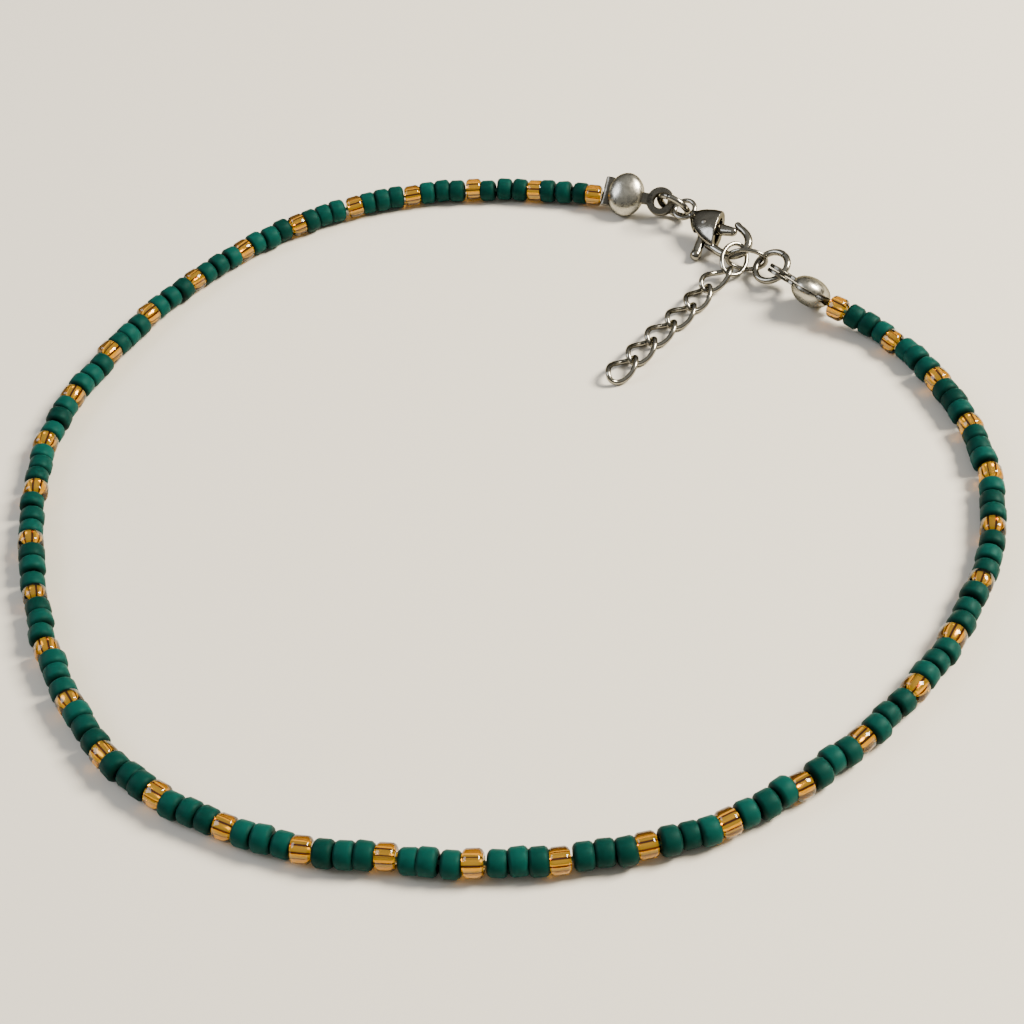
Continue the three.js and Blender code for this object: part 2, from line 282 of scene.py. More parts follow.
def mesh_object(name: str, vertices: Sequence[Sequence[float]], faces: Sequence[Sequence[int]]) -> Object:
    """Makes a mesh object in the scene with its faces pointing outwards.

    Args:
        name: Name of the object and of its mesh.
        vertices: Corner points.
        faces: Corner numbers of each face.

    Returns:
        The new object, at the origin.
    """
    mesh = bpy.data.meshes.new(name)
    mesh.from_pydata([tuple(v) for v in vertices], [], [tuple(f) for f in faces])
    reshape(mesh, lambda shell: bmesh.ops.remove_doubles(shell, verts=shell.verts, dist=1e-6))
    return put_in_scene(name, mesh)


def quads(rows: int, sides: int, steps: int) -> list[tuple[int, int, int, int]]:
    """Numbers the faces between rows of points that run round a body.

    Args:
        rows: Number of rows, after which the first follows again.
        sides: Number of points in a row.
        steps: Number of gaps between rows that get faces.

    Returns:
        The point numbers of each face.
    """
    faces = []
    for i in range(steps):
        here, after = i * sides, (i + 1) % rows * sides
        for k in range(sides):
            m = (k + 1) % sides
            faces.append((here + k, here + m, after + m, after + k))
    return faces


def sweep(
    name: str,
    points: Sequence[Vector],
    radius: float | Callable[[float], Pair],
    sides: int = 16,
    closed: bool = False,
) -> Object:
    """Sweeps a round or oval section along a line of points.

    Args:
        name: Name of the object.
        points: Centre line, which doesn't start straight up.
        radius: Radius, or a function of the share along the line that gives the two half widths.
        sides: Number of corners of the section.
        closed: Whether the line is a loop.

    Returns:
        The swept body, with flat ends where it is open.
    """
    line = np.array([tuple(p) for p in points], float)
    count = len(line)
    ahead = np.roll(line, -1, 0) - np.roll(line, 1, 0) if closed else np.gradient(line, axis=0)
    ahead /= np.linalg.norm(ahead, axis=1)[:, None]
    up = np.array((0.0, 0.0, 1.0))
    first = up - ahead[0] * (up @ ahead[0])
    frames = [first / np.linalg.norm(first)]
    for i in range(1, count + (1 if closed else 0)):
        tangent = ahead[i % count]
        moved = frames[-1] - tangent * (frames[-1] @ tangent)
        frames.append(moved / np.linalg.norm(moved))
    slip = 0.0
    if closed:
        slip = math.atan2(frames[-1] @ np.cross(ahead[0], frames[0]), frames[-1] @ frames[0])
    vertices = []
    for i in range(count):
        share = i / (count if closed else count - 1)
        half_y, half_z = radius(share) if callable(radius) else (radius, radius)
        angles = np.linspace(0, 2 * math.pi, sides, endpoint=False) - slip * share
        side = np.cross(frames[i], ahead[i])
        ring = np.outer(np.cos(angles) * half_y, side) + np.outer(np.sin(angles) * half_z, frames[i])
        vertices += [tuple(v) for v in line[i] + ring]
    faces: list[Sequence[int]] = list(quads(count, sides, count if closed else count - 1))
    if not closed:
        faces += [tuple(end * sides + k for k in range(sides)) for end in (0, count - 1)]
    return mesh_object(name, vertices, faces)


def revolve(name: str, profile: Sequence[Pair], sides: int, closed: bool = False) -> Object:
    """Turns a profile of (radius, height) pairs round the Z axis.

    Args:
        name: Name of the object.
        profile: Points of the profile.
        sides: Number of steps round the axis.
        closed: Whether the last point of the profile joins the first.

    Returns:
        The turned body.
    """

    def weld(shell: bmesh.types.BMesh) -> None:
        """Merges points at one place and drops what they leave without area."""
        bmesh.ops.remove_doubles(shell, verts=shell.verts, dist=1e-5)
        bmesh.ops.dissolve_degenerate(shell, edges=shell.edges, dist=1e-5)

    turns = [2 * math.pi * k / sides for k in range(sides)]
    vertices = [(r * math.cos(turn), r * math.sin(turn), z) for r, z in profile for turn in turns]
    rows = len(profile)
    obj = mesh_object(name, vertices, quads(rows, sides, rows if closed else rows - 1))
    reshape(obj.data, weld)
    return obj


def rod(name: str, radius: float, half: float) -> Object:
    """Makes a straight rod along Z about the origin."""
    return revolve(name, doubled([(0.0, -half), (radius, -half)]), 24)


def block(name: str, low: Sequence[float], high: Sequence[float], rounding: float = 0.0) -> Object:
    """Makes a box between two corners, with rounded edges.

    Args:
        name: Name of the object.
        low: Lowest corner.
        high: Highest corner.
        rounding: Radius of its edges.

    Returns:
        The box.
    """
    corners = [(x, y, z) for x in (low[0], high[0]) for y in (low[1], high[1]) for z in (low[2], high[2])]
    faces = [(0, 1, 3, 2), (4, 6, 7, 5), (0, 4, 5, 1), (2, 3, 7, 6), (0, 2, 6, 4), (1, 5, 7, 3)]
    obj = mesh_object(name, corners, faces)

    def bevel(shell: bmesh.types.BMesh) -> None:
        """Rounds every edge."""
        given = {"offset": rounding, "segments": 3, "profile": 0.5, "affect": "EDGES"}
        bmesh.ops.bevel(shell, geom=shell.edges[:], **given)

    if rounding > 0:
        reshape(obj.data, bevel)
    return obj


def combine(name: str, parts: Sequence[Object]) -> Object:
    """Joins objects into one mesh.

    Args:
        name: Name of the joined object.
        parts: Objects, which are removed.

    Returns:
        The joined object, at the origin.
    """
    whole = bmesh.new()
    for part in parts:
        whole.from_mesh(part.data)
        bpy.data.objects.remove(part)
    mesh = bpy.data.meshes.new(name)
    whole.to_mesh(mesh)
    whole.free()
    return put_in_scene(name, mesh)


def evaluated_copy(obj: Object, name: str) -> Object:
    """Makes a plain mesh object of an object with its modifiers, which is then removed.

    Args:
        obj: Object with modifiers.
        name: Name of the plain object.

    Returns:
        The plain mesh object.
    """
    graph = bpy.context.evaluated_depsgraph_get()
    mesh = bpy.data.meshes.new_from_object(obj.evaluated_get(graph), depsgraph=graph)
    obj.modifiers.clear()
    bpy.data.objects.remove(obj)
    mesh.name = name
    return put_in_scene(name, mesh)


def grow(name: str, mesh: bpy.types.Mesh, tree: Tree, values: dict[str, Any]) -> Object:
    """Runs a geometry node tree on a mesh.

    Args:
        name: Name of the result.
        mesh: Mesh that the tree starts from.
        tree: The node tree.
        values: Its inputs by their names.

    Returns:
        The result as one plain mesh object.
    """
    carrier = put_in_scene(name, mesh)
    modifier = carrier.modifiers.new("grow", "NODES")
    modifier.node_group = tree
    for item in tree.interface.items_tree:
        if item.in_out == "INPUT" and item.name in values:
            modifier[item.identifier] = values[item.name]
    bpy.context.view_layer.update()
    return evaluated_copy(carrier, name)


def mark(obj: Object, name: str, measure: Callable[[Vector], float]) -> None:
    """Stores a number on each point of a mesh, for its finish to read."""
    values = [measure(vertex.co) for vertex in obj.data.vertices]
    obj.data.attributes.new(name, "FLOAT", "POINT").data.foreach_set("value", np.array(values, np.float32))


def cut(body: Object, tool: Object) -> Object:
    """Cuts one closed body with another, which is removed.

    Args:
        body: Body that is cut.
        tool: Body that cuts.

    Returns:
        What is left of the body.
    """
    knife = body.modifiers.new("cut", "BOOLEAN")
    knife.operation = "DIFFERENCE"
    knife.solver = "EXACT"
    knife.object = tool
    left = evaluated_copy(body, body.name)
    bpy.data.objects.remove(tool)
    return left


def cast(obj: Object, grain: float, smoothing: int) -> Object:
    """Melts overlapping closed bodies into one with soft inner corners, as a casting has.

    Args:
        obj: Object of overlapping closed bodies.
        grain: Size of the voxels.
        smoothing: Number of smoothing passes.

    Returns:
        The single body.
    """
    melt = obj.modifiers.new("melt", "REMESH")
    melt.mode = "VOXEL"
    melt.voxel_size = grain
    soften = obj.modifiers.new("soften", "SMOOTH")
    soften.factor = 0.5
    soften.iterations = smoothing
    return evaluated_copy(obj, obj.name)


# Finishes


@dataclass(frozen=True)
class Finish:
    """A finish, of which each kind says what goes into the shader."""

    name: str

    def inputs(self, tree: Tree) -> dict[str, Any]:
        """Adds the nodes of the finish."""
        raise NotImplementedError

    def material(self) -> bpy.types.Material:
        """Builds the material."""
        material = bpy.data.materials.new(self.name)
        material.use_nodes = True
        tree = material.node_tree
        fill(tree, tree.nodes["Principled BSDF"], self.inputs(tree))
        return material


@dataclass(frozen=True)
class PolishedSteel(Finish):
    """Stainless steel, stamped and barrel polished: near mirror, with faint marks and a grey film."""

    name: str = "polished_stainless_steel"
    colour: str = "#918e84"
    film: str = "#5f5c54"
    rim: str = "#6b685f"  # tint at grazing angles, where the film is thickest
    roughness: float = 0.16
    mark_spacing: float = 0.35  # between tumbling marks
    film_share: float = 0.55  # where the film is thickest

    def inputs(self, tree: Tree) -> dict[str, Any]:
        """Adds the film in wide spots, and the tumbling marks in fine ones."""
        spots = span(tree, noise(tree, 3 * self.mark_spacing, 3.0), (0.45, 0.8), (0.0, self.film_share))
        marks = noise(tree, self.mark_spacing, 4.0)
        return {
            "Metallic": 1.0,
            "Specular Tint": linear(self.rim),
            "Base Color": blend(tree, spots, linear(self.colour), linear(self.film)),
            "Roughness": span(tree, marks, MIDDLING, (self.roughness * 0.7, self.roughness * 1.4)),
            "Normal": relief(tree, marks, 0.06),
        }


@dataclass(frozen=True)
class FrostedGlass(Finish):
    """Teal seed-bead glass, tumbled matt, with painted light: a painted glow along its middle and painted
    shade at its ends, where the beads meet.
    """

    name: str = "frosted_teal_glass"
    # The first colour is painted shade at the bead's ends, where the beads meet, and the third a painted
    # glow along its middle.
    painted_end_shade: str = "#021712"
    body: str = "#032d28"
    painted_middle_glow: str = "#054740"
    sheen: str = "#93cabf"  # of its reflections
    roughness: float = 0.5
    frost_grain: float = 0.12  # of the tumbled surface
    end_shade_from: float = 0.35  # share of the bead's half length from which it darkens

    def inputs(self, tree: Tree) -> dict[str, Any]:
        """Adds the painted shade at the bead's ends and the painted glow along its middle, stronger by the
        bead's own tone, and the frosted surface.
        """
        # middle is the mask of the painted light: 1 along the bead's middle, where the painted glow goes,
        # and 0 at its ends, where the painted shade goes.
        middle = span(tree, stored(tree, "along"), (self.end_shade_from, 1.0), (1.0, 0.0))
        body_with_end_shade = blend(tree, middle, linear(self.painted_end_shade), linear(self.body))
        share = calc(tree, "MULTIPLY", stored(tree, "tone"), middle)
        frost = noise(tree, self.frost_grain, 2.0)
        return {
            "Base Color": blend(tree, share, body_with_end_shade, linear(self.painted_middle_glow)),
            "Roughness": span(tree, frost, MIDDLING, (self.roughness * 0.85, self.roughness * 1.15)),
            "Normal": relief(tree, frost, 0.25),
            "IOR": 1.5,
            "Specular IOR Level": 0.1,
            "Specular Tint": linear(self.sheen),
            "Subsurface Weight": 0.45,
            "Subsurface Radius": (0.2, 1.0, 0.85),
            "Subsurface Scale": 0.8 * MM,
        }


@dataclass(frozen=True)
class AmberGlass(Finish):
    """Clear topaz glass of the accent beads, fire polished: the lined hole shows through it."""

    name: str = "clear_amber_glass"
    colour: str = "#a87204"
    light: str = "#bd840a"  # colour of the palest beads
    roughness: float = 0.03

    def inputs(self, tree: Tree) -> dict[str, Any]:
        """Adds the colour by the bead's own tone."""
        return {
            "Base Color": blend(tree, stored(tree, "tone"), linear(self.colour), linear(self.light)),
            "Roughness": self.roughness,
            "IOR": 1.5,
            "Transmission Weight": 1.0,
        }


@dataclass(frozen=True)
class SilverLining(Finish):
    """Silvered wall of the accent beads' holes: its facets are painted as pale and dark stripes, painted
    reflections, and it glows with painted light.
    """

    name: str = "silvered_hole"
    painted_glint: str = "#fff0b4"
    painted_dark_facet: str = "#5c3203"
    facets: int = 6
    painted_lining_glow: float = 0.45  # stands for the light that the clear glass gathers on the lining
    roughness: float = 0.18

    def inputs(self, tree: Tree) -> dict[str, Any]:
        """Adds the painted stripes round the hole, and lets them glow as painted light."""
        wave = calc(tree, "MULTIPLY", stored(tree, "around"), 2 * math.pi * self.facets)
        share = span(tree, calc(tree, "SINE", wave), (-0.9, -0.3), (0.0, 1.0))
        # Painted reflections: pale stripes stand for facets that catch the light, dark ones for facets that
        # don't.
        painted_stripes = blend(tree, share, linear(self.painted_dark_facet), linear(self.painted_glint))
        return {
            "Base Color": painted_stripes,
            # Painted light: the stripes glow by themselves.
            "Emission Color": painted_stripes,
            "Emission Strength": self.painted_lining_glow,
            "Metallic": 1.0,
            "Roughness": self.roughness,
        }


@dataclass(frozen=True)
class BeadingThread(Finish):
    """Green nylon beading thread, twisted and waxed."""

    name: str = "waxed_nylon_thread"
    colour: str = "#1d4a41"
    light: str = "#2f6a5d"
    twist: float = 0.3  # length of one turn of the plies
    roughness: float = 0.6

    def inputs(self, tree: Tree) -> dict[str, Any]:
        """Adds the plies' lighter and darker spots."""
        plies = noise(tree, self.twist, 2.0)
        colour = blend(tree, plies, linear(self.colour), linear(self.light))
        return {"Base Color": colour, "Roughness": self.roughness}


@dataclass(frozen=True)
class PaleFloor(Finish):
    """Matt pale board under the anklet."""

    name: str = "matt_pale_floor"
    colour: str = "#d9d4c8"
    roughness: float = 0.7

    def inputs(self, tree: Tree) -> dict[str, Any]:
        """Gives the plain colour."""
        return {"Base Color": linear(self.colour), "Roughness": self.roughness}


# The cover is one piece of steel, made in two copies: a lighter one on its cups, painted light, and a
# darker one on its hinge strip and flat rings, painted shade.
CUP_STEEL_PAINTED_LIGHT = PolishedSteel("satin_stainless_cups", "#b3b0a4", "#7f7c70", "#8f8c80", 0.27)
FITTING_STEEL_PAINTED_SHADE = PolishedSteel("dull_stainless_fittings", "#6d6a61", "#3f3d37", "#55534b", 0.24)
PIN_STEEL = PolishedSteel("satin_steel_pin", "#9a978f", "#6f6c66", roughness=0.32)


# Pieces


@dataclass
class Workshop:
    """What the pieces share: the frame's origin in the layout, and the materials built so far."""

    origin: Vector = field(default_factory=Vector)
    finishes: dict[str, bpy.types.Material] = field(default_factory=dict)

    def finish(self, recipe: Finish) -> bpy.types.Material:
        """Gives the material of a finish, built once.

        Args:
            recipe: The finish.

        Returns:
            Its material.
        """
        if recipe.name not in self.finishes:
            self.finishes[recipe.name] = recipe.material()
        return self.finishes[recipe.name]

    def fit(
        self,
        obj: Object,
        seat: Matrix,
        recipe: Finish,
        nodes: Iterable[str],
        body: str = "anklet",
        smooth_angle: float = 40.0,
    ) -> None:
        """Places a finished piece in the frame, gives it its finish and lets it ride on its body.

        Args:
            obj: Piece in its own frame.
            seat: Its place in the layout.
            recipe: Its finish.
            nodes: CAD nodes that it stands for.
            body: Body that it rides on.
            smooth_angle: Angle in degrees under which its edges shade smooth.
        """
        obj.data.transform(Matrix.Scale(MM, 4) @ Matrix.Translation(self.origin) @ seat)
        obj.data.shade_smooth()
        obj.data.set_sharp_from_angle(angle=math.radians(smooth_angle))
        obj.data.materials.clear()
        obj.data.materials.append(self.finish(recipe))
        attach(obj, body)
        for node in nodes:
            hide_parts(node)
        LOG.info("%s: %d faces, rides on %s", obj.name, len(obj.data.polygons), body)


class BeadKind(Enum):
    """The two sorts of bead on the strand."""

    TEAL = "teal_beads"
    AMBER = "amber_beads"


@dataclass
class Bead:
    """A drilled seed bead, turned round its own Z axis."""

    diameter: float = 2.22
    length: float = 1.66
    hole: float = 0.8
    rounding: float = 0.48  # radius of its outer edges
    lip: float = 0.12  # bevel of the edges of its hole
    lining_reach: float = 0.09  # how far its silvered lining goes into the glass
    lining_wall: float = 0.05
    lining_inset: float = 0.03  # how far inside the bead's ends the lining stops

    def build(self, name: str) -> Object:
        """Builds the bead about the origin, with a mark of how far each point is along it.

        Args:
            name: Name of the object.

        Returns:
            The bead.
        """
        outer, half, inner = self.diameter / 2, self.length / 2, self.hole / 2
        edge = [
            (outer - self.rounding + x, -half + self.rounding + z)
            for x, z in arc(self.rounding, self.rounding, (-75, -45, -15))
        ]
        bore = [(inner + self.lip, half), (inner, half - self.lip)]
        bead = revolve(name, doubled(edge) + doubled(bore), 20, closed=True)
        mark(bead, "along", lambda place: min(1.0, abs(place.z) / half))
        return bead

    def lining(self, name: str) -> Object:
        """Builds the silvered tube in the hole, with a mark of how far round each point is.

        Args:
            name: Name of the object.

        Returns:
            The tube.
        """
        outer, half = self.hole / 2 + self.lining_reach, self.length / 2 - self.lining_inset
        inner = outer - self.lining_wall
        profile = [(outer, -half), (outer, half), (inner, half), (inner, -half)]
        tube = revolve(name, profile, 24, closed=True)
        mark(tube, "around", lambda place: math.atan2(place.y, place.x) / (2 * math.pi) % 1.0)
        return tube


def walked(points: np.ndarray) -> np.ndarray:
    """Measures the way along a line."""
    return np.concatenate([[0], np.cumsum(np.linalg.norm(np.diff(points, axis=0), axis=1))])


@dataclass
class Strand:
    """The thread with its 145 beads: one amber, then three teal, and amber again at the end."""

    beads: int = 145
    stride: int = 4
    bead: Bead = field(default_factory=Bead)
    amber: Bead = field(default_factory=lambda: Bead(diameter=2.2, rounding=0.45))
    wobble: float = 0.17  # how far a bead sits off the line
    tilt: float = 5.0  # degrees
    spin: float = 3.1  # radians by which a bead is turned about the thread, at most
    spread: float = 0.05  # share by which beads differ in size
    shortest: float = 0.97  # length of the shortest bead, against the bead's own
    thread: float = 0.36
    left_lift: float = 0.25  # how far the left cover holds its end up
    lift_reach: float = 3.2  # how far along the strand the covers' lift is felt
    seed: int = 11

    def centre_line(self, start: Vector, end: Vector) -> np.ndarray:
        """Works out the line through the beads' middles, which rises to the covers at its ends.

        Args:
            start: Where it meets the left cover.
            end: Where it meets the right cover.

        Returns:
            Points along the line.
        """

        def between(a: np.ndarray, b: np.ndarray, low: float, high: float, t: float) -> np.ndarray:
            """Gives the point between a at low and b at high."""
            return (high - t) / (high - low) * a + (t - low) / (high - low) * b

        plan = [(start.x, start.y)] + [(x / MM, y / MM) for x, y in STRAND_ROUTE] + [(end.x, end.y)]
        knots = [np.array(p) for p in plan]
        knots = [2 * knots[0] - knots[1]] + knots + [2 * knots[-1] - knots[-2]]
        points = []
        for p0, p1, p2, p3 in zip(knots, knots[1:], knots[2:], knots[3:]):
            t1 = np.linalg.norm(p1 - p0) ** 0.5
            t2 = t1 + np.linalg.norm(p2 - p1) ** 0.5
            t3 = t2 + np.linalg.norm(p3 - p2) ** 0.5
            for t in np.linspace(t1, t2, 24, endpoint=False):
                a1, a2 = between(p0, p1, 0, t1, t), between(p1, p2, t1, t2, t)
                a3 = between(p2, p3, t2, t3, t)
                b1, b2 = between(a1, a2, 0, t2, t), between(a2, a3, t1, t3, t)
                points.append(between(b1, b2, t1, t2, t))
        flat = np.array(points + [knots[-2]])
        gone, rest = walked(flat), self.bead.diameter / 2
        lift = [
            self.left_lift * math.exp(-((s / self.lift_reach) ** 2))
            + (end.z - rest) * math.exp(-((u / self.lift_reach) ** 2))
            for s, u in zip(gone, gone[-1] - gone)
        ]
        return np.column_stack([flat, rest + np.array(lift)])

    def bead_tree(self) -> Tree:
        """Builds the tree that strings beads along a line, with its sizes as named inputs."""
        tree, given = geometry_tree("string_beads", {
            "Bead": "Object", "Beads": "Int", "Stride": "Int", "Accent": "Bool", "Wobble": "Float",
            "Tilt": "Float", "Spread": "Float", "Bead radius": "Float", "Material": "Material",
        })

        def vector(*parts: Any) -> Socket:
            """Makes a vector of its parts."""
            return add(tree, "ShaderNodeCombineXYZ", dict(enumerate(parts)))[0]

        def draw(number: int, low: Any, high: Any) -> Socket:
            """Draws a number for each bead between two ends."""
            ends = {2: low, 3: high, "Seed": self.seed + number}
            return add(tree, "FunctionNodeRandomValue", ends, data_type="FLOAT")[1]

        def draw_vector(number: int, side: Any, turn: float = 0.0) -> Socket:
            """Draws a vector for each bead, up to side either way in X and Y and up to turn in Z."""
            back = calc(tree, "MULTIPLY", side, -1.0)
            ends = {0: vector(back, back, -turn), 1: vector(side, side, turn), "Seed": self.seed + number}
            return add(tree, "FunctionNodeRandomValue", ends, data_type="FLOAT_VECTOR")[0]

        line = add(tree, "GeometryNodeMeshToCurve", {"Mesh": given["Geometry"]})[0]
        beads = {"Curve": line, "Count": given["Beads"]}
        strung = add(tree, "GeometryNodeCurveToPoints", beads, mode="COUNT")
        index = add(tree, "GeometryNodeInputIndex")[0]
        step = add(tree, "FunctionNodeIntegerMath", {0: index, 1: given["Stride"]}, operation="MODULO")[0]
        first = add(tree, "FunctionNodeCompare", {2: step, 3: 0}, data_type="INT", operation="EQUAL")[0]
        chosen = add(tree, "FunctionNodeBooleanMath", {0: first, 1: given["Accent"]}, operation="XNOR")[0]
        low, high = (calc(tree, operation, 1.0, given["Spread"]) for operation in ("SUBTRACT", "ADD"))
        girth = draw(0, low, high)
        size = vector(girth, girth, draw(1, self.shortest, 1.0))
        aside = draw_vector(2, given["Wobble"])
        rise = calc(tree, "MULTIPLY", calc(tree, "SUBTRACT", girth, 1.0), given["Bead radius"])
        shift = add(tree, "ShaderNodeVectorMath", {0: aside, 1: vector(0.0, 0.0, rise)}, operation="ADD")[0]
        placed = add(tree, "GeometryNodeSetPosition", {"Geometry": strung["Points"], "Offset": shift})[0]
        lean = {0: strung["Rotation"], 1: draw_vector(3, given["Tilt"], self.spin)}
        turned = add(tree, "FunctionNodeRotateRotation", lean, rotation_space="LOCAL")[0]
        shape = add(tree, "GeometryNodeObjectInfo", {"Object": given["Bead"]})["Geometry"]
        laid = {"Points": placed, "Selection": chosen, "Instance": shape, "Rotation": turned, "Scale": size}
        put = add(tree, "GeometryNodeInstanceOnPoints", laid)[0]
        tone = {"Geometry": put, "Name": "tone", "Value": draw(4, 0.0, 1.0)}
        marked = add(tree, "GeometryNodeStoreNamedAttribute", tone, data_type="FLOAT", domain="INSTANCE")[0]
        close_tree(tree, marked, given["Material"])
        return tree

    def build(self, shop: Workshop, start: Vector, end: Vector) -> None:
        """Builds the beads, the linings and the thread.

        Args:
            shop: Fits the pieces.
            start: Where the strand meets the left cover.
            end: Where the strand meets the right cover.
        """
        whole = self.centre_line(start, end)
        gone = walked(whole)
        pitch = gone[-1] / self.beads
        LOG.info("strand: %.1f mm of beads, one every %.3f mm", gone[-1], pitch)
        wanted = np.linspace(pitch / 2, gone[-1] - pitch / 2, 8 * self.beads)
        line = np.column_stack([np.interp(wanted, gone, whole[:, k]) for k in range(3)])
        tree = self.bead_tree()
        jobs = (
            (BeadKind.TEAL.value, self.bead.build, False, FrostedGlass(), "teal_glass", ["bead_string"]),
            (BeadKind.AMBER.value, self.amber.build, True, AmberGlass(), "amber_glass", ["bead_string"]),
            ("bead_linings", self.amber.lining, True, SilverLining(), "steel", []),
        )
        for name, make, accent, recipe, slot, nodes in jobs:
            pattern = make(name + "_pattern")
            mesh = bpy.data.meshes.new(name)
            mesh.from_pydata([tuple(p) for p in line], [(i, i + 1) for i in range(len(line) - 1)], [])
            strung = grow(name, mesh, tree, {
                "Bead": pattern, "Beads": self.beads, "Stride": self.stride, "Accent": accent,
                "Wobble": self.wobble, "Tilt": math.radians(self.tilt), "Spread": self.spread,
                "Bead radius": self.bead.diameter / 2, "Material": shop.finish(recipe),
            })
            bpy.data.objects.remove(pattern)
            shop.fit(strung, Matrix(), recipe, nodes, smooth_angle=70)
        thread = sweep("thread", [Vector(p) for p in whole[::6]], self.thread / 2, sides=8)
        shop.fit(thread, Matrix(), BeadingThread(), [])


@dataclass
class Cover:
    """Folded bead-tip cover: two hollow cups on a hinge strip, with a flat ring on each."""

    length: float = 3.76  # of each oval cup's rim, along the strand
    width: float = 4.5
    depth: float = 1.38
    wall: float = 0.3
    seam: float = 0.14
    tab_width: float = 3.0
    tab_reach: float = 0.55
    tab_thickness: float = 0.8
    tab_inside: float = 1.5  # how far the strip goes into the cups, in walls
    tab_thinning: float = 0.5  # share by which the strip is thinner at its two sides
    tab_ends: float = 0.7  # size of the strip's two outermost sections, against what they would be
    thread_hole: float = 0.5
    thread_reach: float = 1.2  # how deep the thread's hole is
    loop_diameter: float = 2.9
    loop_hole: float = 1.5
    loop_thickness: float = 0.34
    neck_length: float = 0.42
    neck_width: float = 1.1
    neck_stop: float = 0.1  # how far from the flat ring's hole its neck ends
    edge: float = 0.06  # rounding of the flat rings' edges

    @property
    def loop_x(self) -> float:
        """Distance of the flat rings' middle from the cups' middle."""
        return self.length / 2 + self.neck_length + self.loop_diameter / 2

    @property
    def tab_x(self) -> float:
        """Distance of the hinge strip's end from the cups' middle."""
        return -(self.length / 2 + self.tab_reach)

    def cup(self, side: int) -> Object:
        """Builds one hollow cup.

        Args:
            side: 1 for the upper one, -1 for the lower one.

        Returns:
            The cup.
        """
        radius, edge = self.length / 2, self.seam / 2
        outside = arc(radius, self.depth - edge, range(0, 91, 6))
        inside = arc(radius - self.wall, self.depth - self.wall - edge, range(90, -1, -6))
        cup = revolve("cup", [(r, side * (edge + z)) for r, z in outside + inside], 48, closed=True)
        cup.data.transform(Matrix.Diagonal((1, self.width / self.length, 1, 1)))
        return cup

    def loop(self, side: int) -> Object:
        """Builds one flat ring with its neck.

        Args:
            side: 1 for the upper one, -1 for the lower one.

        Returns:
            The ring and neck.
        """
        outer, inner, half = self.loop_diameter / 2, self.loop_hole / 2, self.loop_thickness / 2
        lift, soft = side * (self.seam + self.loop_thickness) / 2, self.edge
        low = [(inner, -half + soft), (inner + soft, -half), (outer - soft, -half), (outer, -half + soft)]
        ring = revolve("ring", doubled(low), 40, closed=True)
        ring.data.transform(Matrix.Translation((self.loop_x, 0, lift)))
        start, end = self.length / 2 - self.wall, self.loop_x - inner - self.neck_stop
        across = self.neck_width / 2
        neck = block("neck", (start, -across, lift - half), (end, across, lift + half), soft)
        return combine("loop", [ring, neck])

    def hinge(self) -> Object:
        """Builds the folded strip that joins the two cups, with the hole that the thread comes out of."""
        inner = -self.length / 2 + self.tab_inside * self.wall
        middle, half_x = (self.tab_x + inner) / 2, (inner - self.tab_x) / 2

        def section(share: float) -> Pair:
            """Gives the strip's two half widths at a share of the way across."""
            aside = abs(2 * share - 1)
            soft = 1.0 if aside < 0.99 else self.tab_ends
            return half_x * soft, self.tab_thickness / 2 * (1 - self.tab_thinning * aside) * soft

        across = np.linspace(-self.tab_width / 2, self.tab_width / 2, 41)
        strip = sweep("hinge", [Vector((middle, y, 0)) for y in across], section, sides=24)
        bore = rod("bore", self.thread_hole / 2, self.thread_reach)
        bore.data.transform(Matrix.Translation((self.tab_x, 0, 0)) @ Matrix.Rotation(math.pi / 2, 4, "Y"))
        return cut(strip, bore)

    def build(self, shop: Workshop, name: str, seat: Matrix) -> None:
        """Builds the cover and fits it.

        Args:
            shop: Fits the piece.
            name: Name of the CAD node that it stands for.
            seat: Its place.
        """
        cups = combine(name + "_cups", [self.cup(1), self.cup(-1)])
        fittings = combine(name + "_fittings", [self.loop(1), self.loop(-1), self.hinge()])
        # The cups take the lighter copy of the cover's steel, painted light, and the fittings the darker
        # copy, painted shade.
        shop.fit(cups, seat, CUP_STEEL_PAINTED_LIGHT, [name], smooth_angle=35)
        shop.fit(fittings, seat, FITTING_STEEL_PAINTED_SHADE, [name], smooth_angle=35)


@dataclass
class JumpRing:
    """Split ring of round wire."""

    diameter: float = 3.95
    wire: float = 0.65
    split: float = 0.12

    @property
    def reach(self) -> float:
        """Radius of the wire's centre line."""
        return (self.diameter - self.wire) / 2

    def build(self, shop: Workshop, name: str, seat: Matrix) -> None:
        """Builds the ring, split at its own +Y side, and fits it.

        Args:
            shop: Fits the piece.
            name: Name of the CAD node that it stands for.
            seat: Its place.
        """
        half = self.split / 2 / self.reach
        turns = np.linspace(math.pi / 2 + half, math.pi / 2 + 2 * math.pi - half, 64)
        line = [Vector((self.reach * math.cos(t), self.reach * math.sin(t), 0)) for t in turns]
        shop.fit(sweep(name + "_dressed", line, self.wire / 2), seat, PolishedSteel(), [name])


@dataclass
class ChainLink:
    """Oval link of round wire, plain or with its two ends twisted against each other."""

    length: float
    width: float
    wire: float
    twist: float = 0.0

    @property
    def reach(self) -> float:
        """Half the length of the wire's centre line."""
        return (self.length - self.wire) / 2

    def shape(self, name: str) -> Object:
        """Builds the link about the origin.

        Args:
            name: Name of the object.

        Returns:
            The link.
        """
        half, steps = (self.width - self.wire) / 2, 56
        line = []
        for i in range(steps):
            angle = 2 * math.pi * i / steps
            along, across = math.cos(angle), half * math.sin(angle)
            turn = math.radians(self.twist) / 2 * along
            line.append(Vector((self.reach * along, across * math.cos(turn), across * math.sin(turn))))
        return sweep(name, line, self.wire / 2, sides=12, closed=True)

    def build(self, shop: Workshop, name: str, seat: Matrix) -> None:
        """Builds one link and fits it."""
        shop.fit(self.shape(name + "_dressed"), seat, PolishedSteel(), [name])


